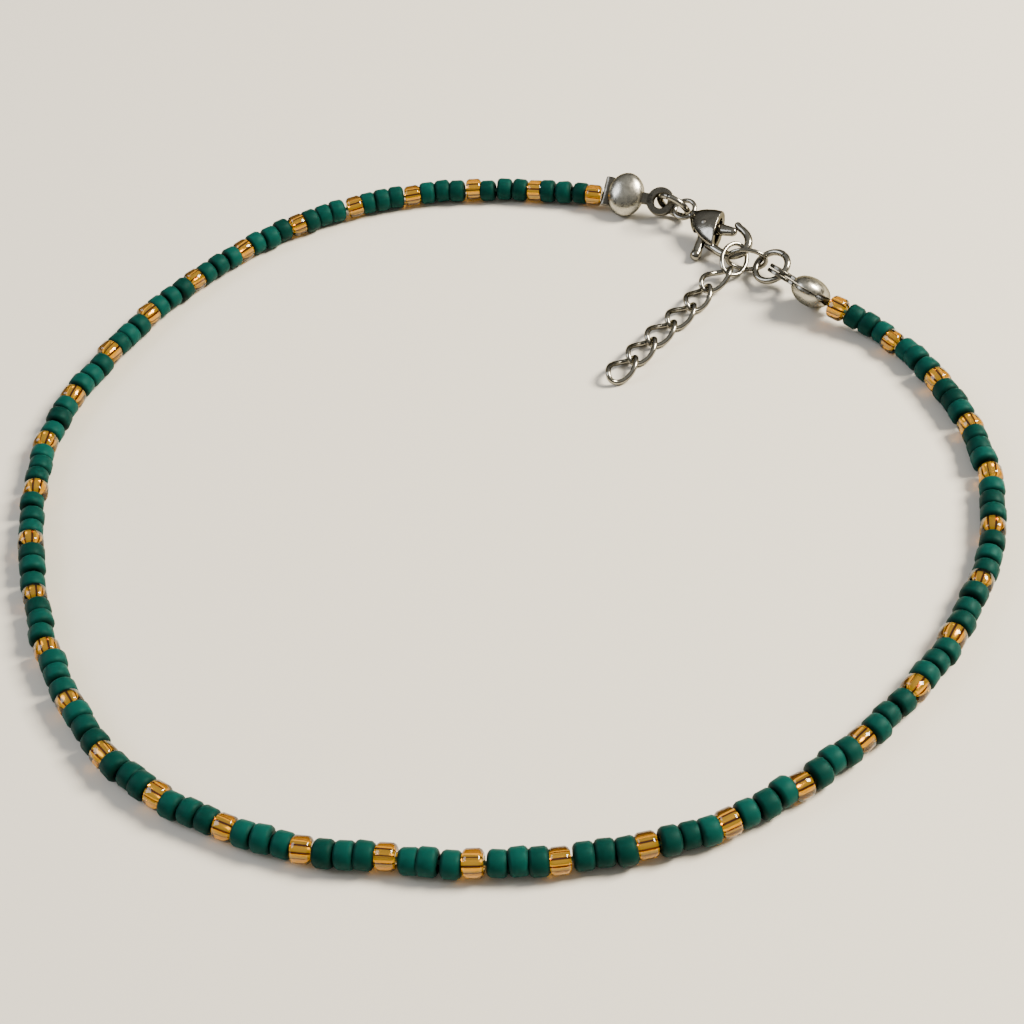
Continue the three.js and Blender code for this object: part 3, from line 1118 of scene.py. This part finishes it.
@dataclass
class CurbChain:
    """Extension chain: twisted links, each through the one before."""

    link: ChainLink = field(default_factory=lambda: ChainLink(4.2, 2.65, 0.5, -90.0))
    play: float = 0.07
    start_lift: float = 0.3  # how much higher than the others the first link lies
    lean: float = 0.19  # share of a link's width by which its twist raises it

    @property
    def lies(self) -> list[Lie]:
        """How each link lies."""
        low = self.link.wire / 2 + self.lean * (self.link.width - self.link.wire) + CLEAR
        return [
            Lie(-106, -6.2, 5, low + self.start_lift), Lie(-86, 0, 3, low), Lie(-95, 0, 0, low),
            Lie(-96, 0, 0, low), Lie(-92, 0, 0, low), Lie(-94, 0, 0, low),
        ]

    def seats(self, grip: Vector) -> list[Matrix]:
        """Places the links from the first one's grip on.

        Args:
            grip: Where the first link's end is.

        Returns:
            The place of each link.
        """
        step = self.link.wire + self.play
        found = []
        for lie in self.lies:
            found.append(lie.seat_by(grip, -self.link.reach))
            grip = reach(found[-1], self.link.reach - step)
        return found

    def chain_tree(self) -> Tree:
        """Builds the tree that puts a link on each point, turned as the point says."""
        tree, given = geometry_tree("lay_links", {"Link": "Object", "Material": "Material"})
        points = add(tree, "GeometryNodeMeshToPoints", {"Mesh": given["Geometry"]})[0]
        turn = add(tree, "GeometryNodeInputNamedAttribute", {"Name": "turn"}, data_type="FLOAT_VECTOR")[0]
        shape = add(tree, "GeometryNodeObjectInfo", {"Object": given["Link"]})["Geometry"]
        laid = {"Points": points, "Instance": shape, "Rotation": turn}
        close_tree(tree, add(tree, "GeometryNodeInstanceOnPoints", laid)[0], given["Material"])
        return tree

    def build(self, shop: Workshop, grip: Vector) -> None:
        """Builds the chain and fits it.

        Args:
            shop: Fits the piece.
            grip: Where the first link's end is.
        """
        seats = self.seats(grip)
        mesh = bpy.data.meshes.new("curb_chain")
        mesh.from_pydata([tuple(seat.translation) for seat in seats], [], [])
        turns = np.array([value for seat in seats for value in seat.to_euler()], np.float32)
        mesh.attributes.new("turn", "FLOAT_VECTOR", "POINT").data.foreach_set("vector", turns)
        pattern = self.link.shape("link_pattern")
        values = {"Link": pattern, "Material": shop.finish(PolishedSteel())}
        chain = grow("curb_chain", mesh, self.chain_tree(), values)
        bpy.data.objects.remove(pattern)
        shop.fit(chain, Matrix(), PolishedSteel(), [f"curb_link_{i + 1}" for i in range(len(seats))])


@dataclass
class LobsterClasp:
    """Cast lobster clasp: hollow body with tail ring and hook, sprung lever and its pin."""

    tail_diameter: float = 2.6
    tail_wire: float = 0.5
    neck: float = 1.1  # from the tail ring's middle to where the body starts
    neck_half: float = 0.34  # half its thickness at the tail ring
    neck_flare: Pair = (0.35, 0.16)  # how much its half width and half height grow
    neck_inside: float = 0.9  # how far it goes into the body
    body_length: float = 4.6
    body_width: float = 4.15
    body_thickness: float = 2.3
    wall: float = 0.35
    mouth_at: float = 3.82  # from where the body starts to the middle of its mouth
    mouth_slant: float = 28.0
    hook_wire: float = 0.74
    hook_length: float = 9.17
    hook_width: float = 3.94
    hook_start: float = 0.72  # share of the body's length at which the hook starts
    hook_round: float = 2.2  # length of the hook's rounded end
    hook_aside: float = -0.2  # how far the hook's middle is off the clasp's axis
    hook_tip: Pair = (6.15, 1.54)
    hook_full: float = 1.16  # how thick the hook is at the body, against its wire
    hook_thinning: float = 0.22  # how much of that is gone at its tip
    hook_even: float = 0.6  # share of its length before it gets thinner
    pivot: Pair = (3.45, -0.35)
    pin_diameter: float = 0.5
    pin_sunk: float = 0.1
    pin_face: Pair = (0.6, 0.02)  # share of the radius that its flat face takes, and its first bevel
    pin_bevel: float = 0.1
    lever_thickness: float = 0.85
    gate_widths: Pair = (1.15, 0.68)
    gate_full: Pair = (0.3, 0.14)  # swell of the gate's sides at its pivot and its tip
    gate_tip: Pair = (6.2, 0.68)
    hub_bevel: float = 0.06
    trigger_widths: Pair = (1.15, 0.8)
    trigger_waist: float = 0.8  # width of the trigger half way, against its width at the pivot
    trigger_swell: float = 0.08  # of its sides before the ball
    trigger_ball: float = 1.1
    trigger_tip: Pair = (4.85, -3.4)
    slot_length: float = 2.2
    slot_ahead: float = 0.4  # middle of the trigger's slot, beyond the pivot
    rivet_play: float = 0.06
    lip: float = 0.7  # thickness of the body round its mouth
    grain: float = 0.055

    def pear(self, inset: float) -> Object:
        """Builds the body's full form, or the hollow inside it.

        Args:
            inset: How far inside the outer form.

        Returns:
            The form.
        """
        length, radius = self.body_length - inset, self.body_width / 2 - inset
        heights, widths = zip(*PEAR_OUTLINE)
        along = np.interp(np.linspace(0, 1, 40), np.linspace(0, 1, len(heights)), heights)
        across = np.interp(along, heights, widths)
        for _ in range(4):
            across[1:-1] = np.convolve(across, np.array([1, 2, 1]) / 4, "valid")
        profile = [(float(a) * radius, float(l) * length) for l, a in zip(along, across)]
        profile.append((0.0, profile[-1][1]))
        form = revolve("pear", profile, 48)
        flatness = (self.body_thickness / 2 - inset) / radius
        place = Matrix.Translation((self.neck + inset, 0, 0)) @ Matrix.Diagonal((1, 1, flatness, 1))
        turn = Matrix.Rotation(math.pi / 2, 4, "Y") @ Matrix.Rotation(math.pi / 2, 4, "Z")
        form.data.transform(place @ turn)
        return form

    def hook_line(self) -> list[Vector]:
        """Gives the hook's centre line, from inside the body round to its tip."""
        half = (self.hook_width - self.hook_wire) / 2
        turn = self.hook_length - self.hook_wire / 2 - self.hook_round
        start = self.neck + self.hook_start * self.body_length
        straight = np.linspace(start, turn, 10, endpoint=False)
        points = [Vector((x, self.hook_aside - half, 0)) for x in straight]
        bend = arc(self.hook_round, half, range(-90, 91, 6))
        points += [Vector((turn + x, self.hook_aside + y, 0)) for x, y in bend]
        tip, last = Vector((*self.hook_tip, 0)), points[-1]
        return points + [last.lerp(tip, share) for share in (0.3, 0.6, 1.0)]

    def hook_radius(self, share: float) -> float:
        """Gives the hook's radius."""
        gone = max(0.0, (share - self.hook_even) / (1 - self.hook_even))
        return self.hook_wire / 2 * (self.hook_full - self.hook_thinning * gone)

    def mouth(self, beyond: float) -> Object:
        """Builds a box that takes away everything beyond the slanted mouth.

        Args:
            beyond: How far past the mouth it starts.

        Returns:
            The box.
        """
        far = 3 * self.body_width
        box = block("mouth", (0, -far / 2, -far / 2), (far, far / 2, far / 2))
        place = Matrix.Translation((self.neck + self.mouth_at + beyond, 0, 0))
        box.data.transform(place @ Matrix.Rotation(math.radians(self.mouth_slant), 4, "Z"))
        return box

    def bore(self, play: float) -> Object:
        """Builds the body that bores the pin's hole.

        Args:
            play: How much wider than the pin it is, all round.

        Returns:
            The rod.
        """
        hole = rod("bore", self.pin_diameter / 2 + play, self.body_thickness)
        hole.data.transform(Matrix.Translation((*self.pivot, 0)))
        return hole

    def body(self) -> Object:
        """Builds the body with its tail ring and hook, as one casting."""
        shell = cut(self.pear(0.0), self.mouth(0.0))
        radius = (self.tail_diameter - self.tail_wire) / 2
        turns = np.linspace(0, 2 * math.pi, 48, endpoint=False)
        tail = [Vector((radius * math.cos(t), radius * math.sin(t), 0)) for t in turns]
        neck = [Vector((x, 0, 0)) for x in np.linspace(radius, self.neck + self.neck_inside, 8)]
        wide, high = self.neck_flare
        hook, end = self.hook_line(), self.hook_radius(1.0)
        parts = [
            shell,
            sweep("tail", tail, self.tail_wire / 2, closed=True),
            sweep("neck", neck, lambda s: (self.neck_half + wide * s, self.neck_half + high * s), sides=20),
            sweep("hook", hook, lambda s: (self.hook_radius(s), self.hook_radius(s)), sides=20),
            self.ball(hook[-1], end, end),
        ]
        solid = cast(combine("clasp_body_dressed", parts), self.grain, 3)
        hollow = cut(self.pear(self.lip), self.mouth(self.wall))
        room = (self.lever_thickness / 2 + 2 * self.rivet_play) / (self.body_thickness / 2 - self.lip)
        hollow.data.transform(Matrix.Diagonal((1, 1, room, 1)))
        thickness, half = self.lever_thickness / 2 + self.rivet_play, self.slot_length / 2
        middle = self.pivot[0] + self.slot_ahead
        solid = cut(solid, hollow)
        low = (middle - half, -1.5 * self.body_width, -thickness)
        slot = block("slot", low, (middle + half, 0, thickness))
        solid = cast(cut(solid, slot), self.grain, 5)
        return cut(solid, self.bore(self.rivet_play / 3))

    def arm(
        self, name: str, ends: Sequence[Vector], places: Sequence[float], halves: Sequence[float]
    ) -> Object:
        """Builds one arm of the lever.

        Args:
            name: Name of the object.
            ends: Its two ends.
            places: Shares of its length, from 0 to 1.
            halves: Half its width at those.

        Returns:
            The arm.
        """
        line = [ends[0].lerp(ends[1], share) for share in np.linspace(0, 1, 12)]
        flat = self.lever_thickness / 2
        return sweep(name, line, lambda share: (float(np.interp(share, places, halves)), flat), sides=20)

    def lever(self) -> Object:
        """Builds the lever: gate, trigger and its ball, as one casting."""
        start, gate, tip = (Vector((*spot, 0)) for spot in (self.pivot, self.gate_tip, self.trigger_tip))
        flat, soft, ball = self.lever_thickness / 2, self.hub_bevel, self.trigger_ball / 2
        wide, narrow = (width / 2 + swell for width, swell in zip(self.gate_widths, self.gate_full))
        top, end = (width / 2 for width in self.trigger_widths)
        trigger = (top, self.trigger_waist * top, end + self.trigger_swell, ball)
        hub = revolve("hub", doubled([(0.0, -flat), (wide - soft, -flat), (wide, -flat + soft)]), 32)
        hub.data.transform(Matrix.Translation(start))
        parts = [
            self.arm("gate", (start, gate), (0, 1), (wide, narrow)),
            self.ball(gate, narrow, flat),
            self.arm("trigger", (start, tip), (0, 0.5, 0.85, 1), trigger),
            self.ball(tip, ball, ball),
            hub,
        ]
        solid = cast(combine("clasp_lever_dressed", parts), self.grain, 4)
        return cut(solid, self.bore(self.rivet_play))

    @staticmethod
    def ball(middle: Vector, radius: float, half_height: float) -> Object:
        """Builds a ball.

        Args:
            middle: Its middle.
            radius: Its radius.
            half_height: Half its height along Z.

        Returns:
            The ball.
        """
        form = revolve("ball", arc(radius, half_height, range(-90, 91, 10)), 24)
        form.data.transform(Matrix.Translation(middle))
        return form

    def pin(self) -> Object:
        """Builds the pin with its two low bevelled heads."""
        radius, half = self.pin_diameter / 2, self.body_thickness / 2 - self.pin_sunk
        share, first = self.pin_face
        low = [(0.0, -half), (radius * share, -half + first), (radius, -half + self.pin_bevel)]
        form = revolve("clasp_pin_dressed", doubled(low), 32)
        form.data.transform(Matrix.Translation((*self.pivot, 0)))
        return form

    def build(self, shop: Workshop, seat: Matrix) -> None:
        """Builds the clasp's three pieces and fits them.

        Args:
            shop: Fits the pieces.
            seat: The clasp's place.
        """
        steel = PolishedSteel()
        shop.fit(self.body(), seat, steel, ["clasp_body"], smooth_angle=45)
        shop.fit(self.lever(), seat, steel, ["clasp_lever"], body="lever", smooth_angle=45)
        shop.fit(self.pin(), seat, PIN_STEEL, ["clasp_pin"])


@dataclass
class Closure:
    """Everything between the strand's two ends, hung together from the clasp outwards."""

    clasp: LobsterClasp = field(default_factory=LobsterClasp)
    cover: Cover = field(default_factory=Cover)
    jump: JumpRing = field(default_factory=JumpRing)
    oval: ChainLink = field(default_factory=lambda: ChainLink(4.3, 2.95, 0.45))
    chain: CurbChain = field(default_factory=CurbChain)
    clasp_at: Pair = (-4.69, 38.88)
    tail_hold: float = 0.35  # where the ring next to the clasp passes through the tail ring
    hook_hold: Pair = (7.74, 0.14)  # where the first plain link rests in the hook
    link_hold: tuple[float, float, float] = (0.12, -0.69, -0.15)  # the second link's end in the first
    ring_play: float = 0.1
    strand_gap: float = 0.22
    cover_height: float = 0.42  # height of a cover's middle as it leans, against its width

    def seats(self) -> dict[str, Matrix]:
        """Works out the place of each piece.

        Returns:
            Placements by the CAD nodes' names.
        """
        jump, oval, eye = self.jump.reach, self.oval.reach, self.cover.loop_x
        height = self.cover_height * self.cover.width + CLEAR
        step = (self.oval.wire + self.jump.wire) / 2 + self.ring_play
        eye_play = (self.cover.loop_hole - self.jump.wire) / 2 - 2 * self.ring_play
        clasp = Lie(-15, -1, 24, 2.06).seat(*self.clasp_at)
        clasp_ring = Lie(175, -5, 66, 1.95).seat_by(reach(clasp, self.tail_hold), -jump)
        left = Lie(14, -2, 41, height).seat_by(reach(clasp_ring, jump), eye)
        hook_link = Lie(-76.7, -12.3, -27.5, 1.34).seat_by(reach(clasp, *self.hook_hold), -oval)
        ring_link = Lie(19.2, 6.1, 94.9, 1.55).seat_by(reach(hook_link, *self.link_hold), -oval)
        chain_ring = Lie(-28.1, -0.6, 27.1, 1.65).seat_by(reach(ring_link, oval), step - jump)
        right = Lie(165.5, 0.7, 45, height).seat_by(reach(chain_ring, jump + eye_play), eye)
        return {
            "clasp": clasp, "jump_ring_clasp": clasp_ring, "clamshell_left": left, "link_hook": hook_link,
            "link_ring": ring_link, "jump_ring_chain": chain_ring, "clamshell_right": right,
        }

    def build(self, shop: Workshop) -> tuple[Vector, Vector]:
        """Builds every piece of the closure.

        Args:
            shop: Fits the pieces, and gets the layout's origin from the clasp's pin.

        Returns:
            The two places where the strand meets its covers.
        """
        seats = self.seats()
        low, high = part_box("clasp_pin")
        shop.origin = (low + high) / 2 / MM - reach(seats["clasp"], *self.clasp.pivot)
        LOG.info("layout origin at %.4f, %.4f, %.4f mm", *shop.origin)
        self.clasp.build(shop, seats["clasp"])
        for name, part in (
            ("clamshell_left", self.cover), ("clamshell_right", self.cover), ("jump_ring_clasp", self.jump),
            ("jump_ring_chain", self.jump), ("link_hook", self.oval), ("link_ring", self.oval),
        ):
            part.build(shop, name, seats[name])
        inside = (self.oval.wire + self.chain.link.wire) / 2 + self.chain.play
        self.chain.build(shop, reach(seats["link_hook"], self.oval.reach - inside))
        outside = self.cover.tab_x - self.strand_gap
        return reach(seats["clamshell_left"], outside), reach(seats["clamshell_right"], outside)


# Studio


@dataclass
class Studio:
    """Pale floor, soft light and the camera at the photo's angle. Lengths are in metres."""

    location: tuple[float, float, float] = (0.072417, -0.086884, 0.11279)
    right: tuple[float, float, float] = (0.8169, 0.5726, -0.0672)
    up: tuple[float, float, float] = (-0.3742, 0.6153, 0.6937)
    back: tuple[float, float, float] = (0.4386, -0.5416, 0.7170)
    lens: float = 63.4
    floor_size: float = 3.0
    floor_drop: float = 0.00002  # how far under the object the floor lies
    surround: float = 0.62  # strength of the light from all round

    def floor(self) -> None:
        """Lays the floor, just under the object."""
        half, low = self.floor_size / 2, -self.floor_drop
        corners = [(-half, -half, low), (half, -half, low), (half, half, low), (-half, half, low)]
        mesh = bpy.data.meshes.new("floor")
        mesh.from_pydata(corners, [], [(0, 1, 2, 3)])
        mesh.materials.append(PaleFloor().material())
        put_in_scene("floor", mesh)

    def lamp(self, name: str, place: Sequence[float], size: float, power: float, colour: str) -> None:
        """Hangs a square soft light that points at the object.

        Args:
            name: Name of the light.
            place: Where it hangs.
            size: Its side.
            power: Its power in watts.
            colour: Its colour.
        """
        light = bpy.data.lights.new(name, "AREA")
        light.shape = "SQUARE"
        light.size = size
        light.energy = power
        light.color = linear(colour)[:3]
        lamp = put_in_scene(name, light)
        lamp.location = place
        lamp.rotation_euler = (-Vector(place)).to_track_quat("-Z", "Y").to_euler()

    def lights(self) -> None:
        """Lights the scene: a large key from the right and behind, a weak fill and a pale surround."""
        self.lamp("key_light", (0.30, 0.34, 0.42), 0.22, 14.0, "#fff4e0")
        self.lamp("fill_light", (-0.45, -0.25, 0.40), 0.35, 2.4, "#eef3ff")
        world = bpy.data.worlds.new("studio")
        world.use_nodes = True
        tree = world.node_tree
        place = add(tree, "ShaderNodeTexCoord")["Generated"]
        height = span(tree, add(tree, "ShaderNodeSeparateXYZ", {0: place})["Z"], (0.05, 0.95), (0.0, 1.0))
        shade = blend(tree, height, linear("#2f2d29"), linear("#f0eee9"))
        seen = blend(tree, add(tree, "ShaderNodeLightPath")["Is Camera Ray"], shade, linear("#e2ded5"))
        fill(tree, tree.nodes["Background"], {"Color": seen, "Strength": self.surround})
        bpy.context.scene.world = world

    def camera(self) -> None:
        """Sets the camera at the photo's angle."""
        data = bpy.data.cameras.new("camera")
        data.sensor_width = 36.0
        data.lens = self.lens
        data.clip_start = 0.01
        data.clip_end = 10.0
        camera = put_in_scene("camera", data)
        axes = Matrix((self.right, self.up, self.back)).transposed().to_4x4()
        camera.matrix_world = Matrix.Translation(self.location) @ axes
        bpy.context.scene.camera = camera

    def build(self) -> None:
        """Sets up the studio."""
        self.floor()
        self.lights()
        self.camera()


def main() -> None:
    """Builds the anklet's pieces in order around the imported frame."""
    logging.basicConfig(level=logging.INFO, format="%(name)s: %(message)s")
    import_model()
    Studio().build()
    shop = Workshop()
    start, end = Closure().build(shop)
    Strand().build(shop, start, end)


if __name__ == "__main__":
    main()
